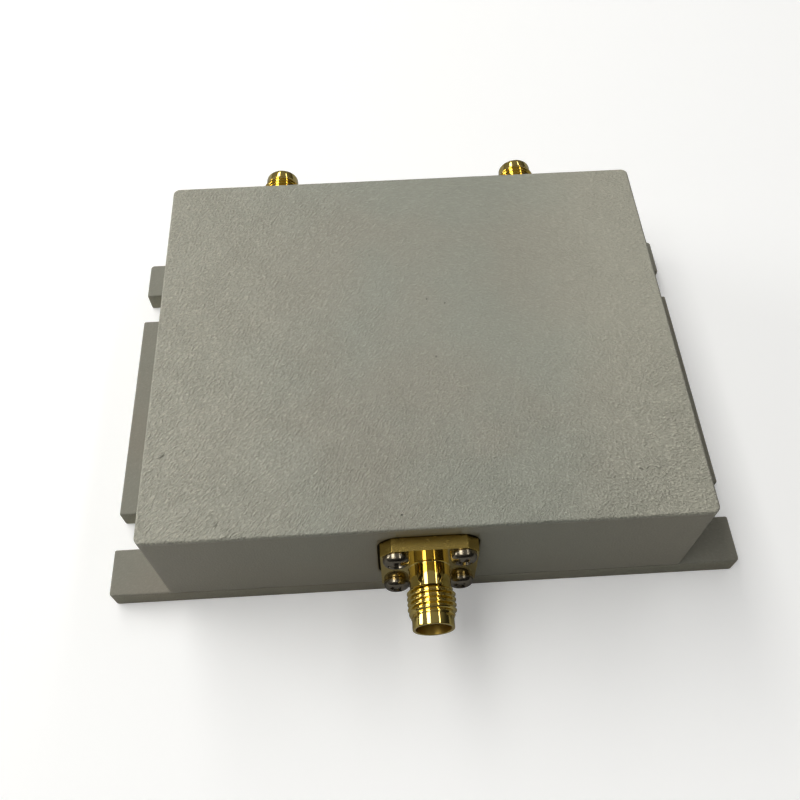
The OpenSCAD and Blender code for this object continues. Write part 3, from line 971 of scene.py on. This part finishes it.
def connector_place(name):
    """Matrix that sets a connector's own frame on its wall."""
    low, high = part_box(name + "_connector_shell")
    middle = (low + high) / 2
    at_rear = middle.y > 0
    turn = Matrix.Rotation(math.pi if at_rear else 0.0, 4, "Z") @ Matrix.Rotation(math.pi / 2, 4, "X")
    return Matrix.Translation((middle.x, low.y if at_rear else high.y, middle.z)) @ turn


def reach(name, node):
    """How far a node reaches along its connector's axis, from the flange's back."""
    back = connector_place(name).inverted()
    heights = [(back @ corner).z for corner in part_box(node)]
    return min(heights), max(heights)


def cut_thread(piece, tree, radius, depth, pitch, start, end):
    """Cuts a thread of this outer radius and depth between two heights."""
    run_tree(piece, tree, crest_radius=radius, depth=depth, pitch=pitch, start=start, end=end)


def thread_span(size):
    """Heights at which the coupling thread starts and ends."""
    foot = size.flange_thickness + size.neck_length
    return foot, foot + size.thread_length


def shell_outline(size):
    """Ring outline of a connector's barrel, with close rows where the thread is cut."""
    tip = reach("input", "input_connector_shell")[1]
    neck, crest, nose = size.neck / 2, size.thread / 2, size.nose / 2
    mouth, bore = size.socket / 2, size.bore / 2
    foot, end = thread_span(size)
    lead, taper, fall, bevel = 0.3 * MM, 0.85 * MM, 0.36 * MM, 0.09 * MM
    root = size.flange_thickness + size.root_radius
    spacing = size.pitch / 20
    outline = [(bore, 0.0), (neck + size.root_radius, 0.0)]
    outline += arc(neck + size.root_radius, root, size.root_radius * 1.02, 270, 180, 5)
    outline += [(neck, root), (neck, foot), (crest - lead, foot), (crest, foot + lead)]
    outline += [(crest, z) for z in rows(foot + lead, end - taper, spacing)[1:]]
    outline += [(crest - fall * (1 + (z - end) / taper), z) for z in rows(end - taper, end, spacing)[1:]]
    outline += [(nose, end), (nose, tip - bevel)]
    outline += arc(nose - bevel, tip - bevel, bevel, 0, 90, 4)[1:]
    outline += arc(mouth + bevel, tip - bevel, bevel, 90, 180, 4)
    outline += [(mouth, tip - size.socket_length), (bore, tip - size.socket_length)]
    return outline


def flange_outline(side, chamfer):
    """A square with its corners cut off."""
    far, near = side / 2, side / 2 - chamfer
    corners = [(-near, -far), (near, -far), (far, -near), (far, near)]
    return corners + [(-x, -y) for x, y in corners]


def build_shell(size, material, thread):
    """One connector shell: bevelled flange, neck, helical thread, nose and mouth."""
    low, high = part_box("input_connector_shell")
    barrel = turned("barrel", shell_outline(size), turns=96)
    cut_thread(barrel, thread, size.thread / 2, size.thread_depth, size.pitch, *thread_span(size))
    thick = size.flange_thickness
    flange = prism("flange", flange_outline(high.x - low.x, size.flange_chamfer), 0.0, thick)
    soften(flange, size.flange_edge)
    spot = size.hole_spacing / 2
    hole = 1.2 * MM
    through = (-MM, thick + MM)
    cutters = [rod("bore", (size.bore + size.neck) / 4, *through)]
    cutters += [rod("hole", hole, *through, (i * spot, j * spot)) for i in (-1, 1) for j in (-1, 1)]
    combine(flange, cutters, "DIFFERENCE")
    combine(flange, [barrel], "UNION")
    dress(shade(flange, weighted=True), material)
    mark_shaded_bore_and_milled_sides(flange, size)
    return flange


def mark_shaded_bore_and_milled_sides(piece, size):
    """Marks a shell's bore, rougher and darkened with painted shade, and its flange's milled sides, which are
    duller than the rest.
    """
    slack, lip = 0.02 * MM, 0.05 * MM
    x, y, z = listed(piece.data.polygons, "center").T
    off_axis = np.hypot(x, y)
    sideways = np.abs(listed(piece.data.polygons, "normal")[:, 2]) < 0.7
    at_flange_side = (off_axis > size.hole_spacing * 0.6) & (z < size.flange_thickness)
    in_bore = (off_axis < size.socket / 2 + slack) & (z < z.max() - lip)
    store(piece.data, "inside", in_bore)
    store(piece.data, "milled", at_flange_side & sideways)


def set_copies(master, node_end, slot):
    """Puts a copy of a connector piece on each connector, and drops the master."""
    for name in CONNECTORS:
        mesh = master.data.copy()
        mesh.transform(connector_place(name))
        node = f"{name}_{node_end}"
        hand_over(link(node + "_piece", mesh), slot, node)
    remove(master)


def outer_wall(radius, low, high, chamfer):
    """Outline of a turned piece's outer wall, chamfered at both ends."""
    near = radius - chamfer
    return [(near, low), (radius, low + chamfer), (radius, high - chamfer), (near, high)]


def build_insulator(material):
    """Insulator with chamfered ends, held in the shell and the wall."""
    low, high = reach("input", "input_insulator")
    outer_spare, inner_spare, chamfer = 0.002 * MM, 0.01 * MM, 0.12 * MM
    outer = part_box("input_insulator")[1].x - outer_spare
    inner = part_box("input_center_contact")[1].x + inner_spare
    outline = [(inner + chamfer, low), *outer_wall(outer, low, high, chamfer)]
    outline += [(inner + chamfer, high), (inner, high - chamfer), (inner, low + chamfer)]
    return dress(shade(turned("insulator", outline, turns=64)), material)


def build_contact(size, material):
    """Centre contact: solder tail behind, four spring fingers round a hole in front."""
    low, high = reach("input", "input_center_contact")
    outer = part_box("input_center_contact")[1].x
    inner = size.contact_bore / 2
    chamfer, depth = 0.05 * MM, 3.0 * MM
    outline = [(0.0, low), *outer_wall(outer, low, high, chamfer)]
    outline += [(inner + chamfer, high), (inner, high - chamfer), (inner, high - depth)]
    outline += [(0.0, high - depth - inner / 2)]
    piece = turned("contact", outline, turns=48)
    half, far = size.contact_slot / 2, outer * 2
    slot = [(-far, -half), (far, -half), (far, half), (-far, half)]
    cutters = []
    for angle in (45.0, 135.0):
        cutter = prism("slot", slot, high - 0.8 * depth, high + MM)
        cutter.data.transform(Matrix.Rotation(math.radians(angle), 4, "Z"))
        cutters.append(cutter)
    combine(piece, cutters, "DIFFERENCE")
    return dress(shade(piece), material)


# Screws


def cross_cutter(low, top):
    """Tapered cross that cuts a screw's recess: each end's reach, half width and height."""
    corners = ((-1, -1), (1, -1), (1, 1), (-1, 1))
    vertices = [(i * r, j * h, z) for r, h, z in (low, top) for i, j in corners]
    faces = [(3, 2, 1, 0), (4, 5, 6, 7)] + [(i, (i + 1) % 4, 4 + (i + 1) % 4, 4 + i) for i in range(4)]
    blades = []
    for angle in (0.0, 90.0):
        blade = add_piece("blade", vertices, faces)
        blade.data.transform(Matrix.Rotation(math.radians(angle), 4, "Z"))
        blades.append(blade)
    return blades


def mark_recess(piece, floor, top):
    """Marks how deep each point lies in the cross recess, for the painted shade and dirt in it."""
    width_share, under, over = 0.34, 0.01 * MM, 0.2 * MM
    x, y, z = listed(piece.data.vertices, "co").T
    sunk = np.clip((top - z) / (top - floor), 0.0, 1.0)
    within = np.hypot(x, y) < width_share * piece.dimensions.x
    in_height = (z > min(floor, top) - under) & (z < max(floor, top) + over)
    store(piece.data, "recess", np.where(within & in_height, sunk, 0.0), "POINT")


def build_pan_screw(size, thread):
    """Pan-head screw, its seat at zero and its head upwards."""
    head, top, shank = size.head / 2, size.head_height, size.shank / 2
    side, crown, bevel, point, groove = 0.24 * MM, 0.1 * MM, 0.06 * MM, 0.4 * MM, 0.22 * MM
    fullness = 2 / 2.6
    outline = [(0.0, -size.reach), (shank * 0.6, -size.reach), (shank, point - size.reach)]
    outline += [(shank, z) for z in rows(point - size.reach, -point, size.pitch / 6)[1:]]
    outline += [(shank, 0.0), (head - bevel, 0.0), (head, bevel), (head, side)]
    outline += [
        (head * math.cos(a) ** fullness, side + (top - side) * math.sin(a) ** fullness)
        for a in np.linspace(0.0, math.pi / 2, 13)[1:-1]
    ]
    outline += [(0.0, top)]
    piece = turned("pan_screw", outline, turns=32)
    cut_thread(piece, thread, shank, groove, size.pitch, -size.reach, -point)
    floor = top - 0.8 * MM
    cutters = cross_cutter((0.5 * MM, 0.2 * MM, floor), (1.35 * MM, 0.36 * MM, top + 0.1 * MM))
    combine(piece, cutters, "DIFFERENCE")
    soften(piece, 0.03 * MM, segments=2, angle=50.0)
    mark_recess(piece, floor, top - crown)
    return shade(piece)


def build_countersunk_screw(size, thread):
    """Countersunk screw, its head's face at zero and its shank upwards."""
    low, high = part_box("base_plate_screws")
    head, shank = size.plate_head / 2, size.plate_shank / 2
    rim, bevel, point, groove = 0.2 * MM, 0.05 * MM, 0.4 * MM, 0.25 * MM
    cone = rim + head - shank
    tip = high.z - low.z
    outline = [(0.0, 0.0), (head - bevel, 0.0), (head, bevel), (head, rim), (shank, cone)]
    outline += [(shank, z) for z in rows(cone, tip - point, size.plate_pitch / 6)[1:]]
    outline += [(shank * 0.7, tip), (0.0, tip)]
    piece = turned("countersunk_screw", outline, turns=32)
    cut_thread(piece, thread, shank, groove, size.plate_pitch, cone + point, tip)
    floor = 0.85 * MM
    cutters = cross_cutter((0.5 * MM, 0.25 * MM, floor), (1.3 * MM, 0.38 * MM, -0.1 * MM))
    combine(piece, cutters, "DIFFERENCE")
    mark_recess(piece, floor, 0.0)
    return shade(piece)


def set_screws(node, pattern, screw, spread, across, height, seed):
    """A piece of screws on a grid of this spread, with so many screws across and back."""
    piece = link(node + "_piece", bpy.data.meshes.new("screws"))
    width, depth = spread
    grid = {"width": width, "depth": depth, "columns": across, "rows": across}
    run_tree(piece, pattern, screw=screw, height=height, seed=seed, **grid)
    return piece


# Handing pieces over to the frame


def dress(piece, material):
    """Gives a piece one material."""
    piece.data.materials.clear()
    piece.data.materials.append(material)
    return piece


def hand_over(piece, slot, *nodes):
    """Lets a finished piece ride on the frame in place of its CAD nodes."""
    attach(piece, "root")
    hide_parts(*nodes)


def dress_nodes(material, *nodes):
    """Gives CAD nodes that stay in view their finish."""
    for node in nodes:
        dress(frame["nodes"][node], material)


# Stage


def build_floor(stage):
    """Wide pale floor just below the object, darker in mirror images and lit a little in view."""
    half, below = 2.0, -0.05 * MM
    corners = [(i * half, j * half, below) for i, j in ((-1, -1), (1, -1), (1, 1), (-1, 1))]
    mesh = bpy.data.meshes.new("floor")
    mesh.from_pydata(corners, [], [(0, 1, 2, 3)])
    floor = link("floor", mesh)
    matt = {"Roughness": 0.9, "Specular IOR Level": 0.1, "Emission Strength": 1.0}
    board = Surface("floor", stage.floor, matt)
    in_view = board.node("ShaderNodeLightPath", None, None, "Is Camera Ray")
    mirrored = in_view.out("Is Glossy Ray")
    board.vary(
        base_color=board.blend(mirrored, stage.floor[:], stage.mirrored[:]),
        emission_color=board.blend(in_view, (0.0, 0.0, 0.0), [stage.glow] * 3),
    )
    dress(floor, board.material)


def build_world(stage):
    """Soft light from overhead, and an even backdrop where the camera looks past the floor."""
    world = bpy.data.worlds.new("studio")
    bpy.context.scene.world = world
    world.use_nodes = True
    air = Board(world.node_tree)
    direction = air.node("ShaderNodeTexCoord", None, None, "Generated")
    height = air.vector("DOT_PRODUCT", direction, (-0.35, 0.4, 0.85), out="Value")
    strength = air.step(height, -0.1, 0.95, 0.1, 1.0) * stage.ambient
    in_view = air.node("ShaderNodeLightPath", None, None, "Is Camera Ray")
    strength = strength + in_view * (stage.backdrop - strength)
    glow = air.node("ShaderNodeBackground", None, {"Color": (1.0, 1.0, 1.0), "Strength": strength})
    air.node("ShaderNodeOutputWorld", None, {"Surface": glow})


def add_lamp(name, centre, size, radiance, towards_object):
    """A rectangular lamp of even radiance that looks straight down or at the object."""
    light = bpy.data.lights.new(name, "AREA")
    light.shape = "RECTANGLE"
    light.size, light.size_y = size
    light.energy = radiance * math.pi * size[0] * size[1]
    lamp = bpy.data.objects.new(name, light)
    lamp.location = centre
    if towards_object:
        lamp.rotation_euler = Vector(centre).to_track_quat("Z", "Y").to_euler()
    bpy.context.scene.collection.objects.link(lamp)


def add_camera(stage):
    """The camera at the photograph's viewing angle."""
    camera = bpy.data.cameras.new("camera")
    camera.lens = stage.lens
    camera.sensor_width = 36.0
    camera.clip_start = 0.005
    eye = bpy.data.objects.new("camera", camera)
    eye.location = stage.place
    eye.rotation_euler = Euler(stage.tilt)
    bpy.context.scene.collection.objects.link(eye)
    bpy.context.scene.camera = eye


# Operators


class DIVIDER_OT_housing(bpy.types.Operator):
    """Build the housing with its grained powder coat"""

    bl_idname = "divider.housing"
    bl_label = "Housing"

    def execute(self, context):
        settings = context.scene
        build_housing(settings.divider_body, settings.divider_finish)
        return {"FINISHED"}


class DIVIDER_OT_base_plate(bpy.types.Operator):
    """Build the slotted base plate"""

    bl_idname = "divider.base_plate"
    bl_label = "Base Plate"

    def execute(self, context):
        settings = context.scene
        build_base_plate(settings.divider_body, settings.divider_finish)
        return {"FINISHED"}


class DIVIDER_OT_connectors(bpy.types.Operator):
    """Build the three coaxial connectors: shells, insulators and centre contacts"""

    bl_idname = "divider.connectors"
    bl_label = "Connectors"

    def execute(self, context):
        size, finish = context.scene.divider_connector, context.scene.divider_finish
        gold = gold_material(finish)
        white = insulator_material(finish)
        set_copies(build_shell(size, gold, thread_tree(gold)), "connector_shell", "gold_plate")
        set_copies(build_insulator(white), "insulator", "insulator_white")
        set_copies(build_contact(size, gold), "center_contact", "gold_plate")
        return {"FINISHED"}


class DIVIDER_OT_screws(bpy.types.Operator):
    """Set the flange screws and the base plate screws"""

    bl_idname = "divider.screws"
    bl_label = "Screws"

    def execute(self, context):
        size, connector = context.scene.divider_screws, context.scene.divider_connector
        steel = steel_material(context.scene.divider_finish)
        thread = thread_tree(steel)
        pattern = screw_tree(steel)

        pan = build_pan_screw(size, thread)
        spread = (connector.hole_spacing, connector.hole_spacing)
        for number, name in enumerate(CONNECTORS):
            node = name + "_flange_screws"
            piece = set_screws(node, pattern, pan, spread, 2, connector.flange_thickness, size.seed + number)
            piece.data.transform(connector_place(name))
            hand_over(piece, "screw_steel", node)
        remove(pan)

        countersunk = build_countersunk_screw(size, thread)
        low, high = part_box("base_plate_screws")
        spread = (high.x - low.x - size.plate_head, high.y - low.y - size.plate_head)
        piece = set_screws("base_plate_screws", pattern, countersunk, spread, 3, low.z, size.seed)
        hand_over(piece, "screw_steel", "base_plate_screws")
        remove(countersunk)
        dress_nodes(steel, "board_screws")
        return {"FINISHED"}


class DIVIDER_OT_board(bpy.types.Operator):
    """Finish the circuit board and what is soldered to it"""

    bl_idname = "divider.board"
    bl_label = "Circuit Board"

    def execute(self, context):
        finish = context.scene.divider_finish
        dress_nodes(laminate_material(finish), "circuit_board")
        dress_nodes(copper_material(finish), "ground_plane", "copper_tracks")
        resistors = [order + "_isolation_resistor" for order in ("first", "second", "third")]
        dress_nodes(ceramic_material(), *resistors)
        joints = [name + "_solder_joint" for name in CONNECTORS]
        dress_nodes(tin_material(), "resistor_end_caps", "resistor_solder", *joints)
        return {"FINISHED"}


class DIVIDER_OT_stage(bpy.types.Operator):
    """Set up the pale floor, the soft lights and the camera"""

    bl_idname = "divider.stage"
    bl_label = "Stage"

    def execute(self, context):
        stage = context.scene.divider_stage
        context.scene.view_settings.view_transform = "Standard"
        build_floor(stage)
        build_world(stage)
        for name, centre, size, brightness, towards_object in LAMPS:
            add_lamp(name, centre, size, getattr(stage, brightness), towards_object)
        add_camera(stage)
        return {"FINISHED"}


class DIVIDER_PT_panel(bpy.types.Panel):
    """Lists the build steps and their sizes"""

    bl_label = "Power Divider"
    bl_space_type = "VIEW_3D"
    bl_region_type = "UI"
    bl_category = "Divider"

    def draw(self, context):
        layout = self.layout
        for step in STEPS:
            layout.operator(step.bl_idname)
        for label, group in GROUPS.items():
            box = layout.box()
            settings = getattr(context.scene, label)
            box.label(text=group.__doc__)
            for key in group.__annotations__:
                box.prop(settings, key)


STEPS = (
    DIVIDER_OT_housing,
    DIVIDER_OT_base_plate,
    DIVIDER_OT_connectors,
    DIVIDER_OT_screws,
    DIVIDER_OT_board,
    DIVIDER_OT_stage,
)
GROUPS = {
    "divider_body": DIVIDER_PG_body,
    "divider_connector": DIVIDER_PG_connector,
    "divider_screws": DIVIDER_PG_screws,
    "divider_finish": DIVIDER_PG_finish,
    "divider_stage": DIVIDER_PG_stage,
}


def register():
    """Registers the classes and hangs the settings on the scene."""
    for kind in (*GROUPS.values(), *STEPS, DIVIDER_PT_panel):
        bpy.utils.register_class(kind)
    for label, group in GROUPS.items():
        setattr(bpy.types.Scene, label, PointerProperty(type=group))


def unregister():
    """Takes the settings and the classes away again."""
    for label in GROUPS:
        delattr(bpy.types.Scene, label)
    for kind in reversed((*GROUPS.values(), *STEPS, DIVIDER_PT_panel)):
        bpy.utils.unregister_class(kind)


def main():
    """Builds everything in order."""
    register()
    bpy.ops.divider.housing()
    bpy.ops.divider.base_plate()
    bpy.ops.divider.connectors()
    bpy.ops.divider.screws()
    bpy.ops.divider.board()
    bpy.ops.divider.stage()


if __name__ == "__main__":
    main()
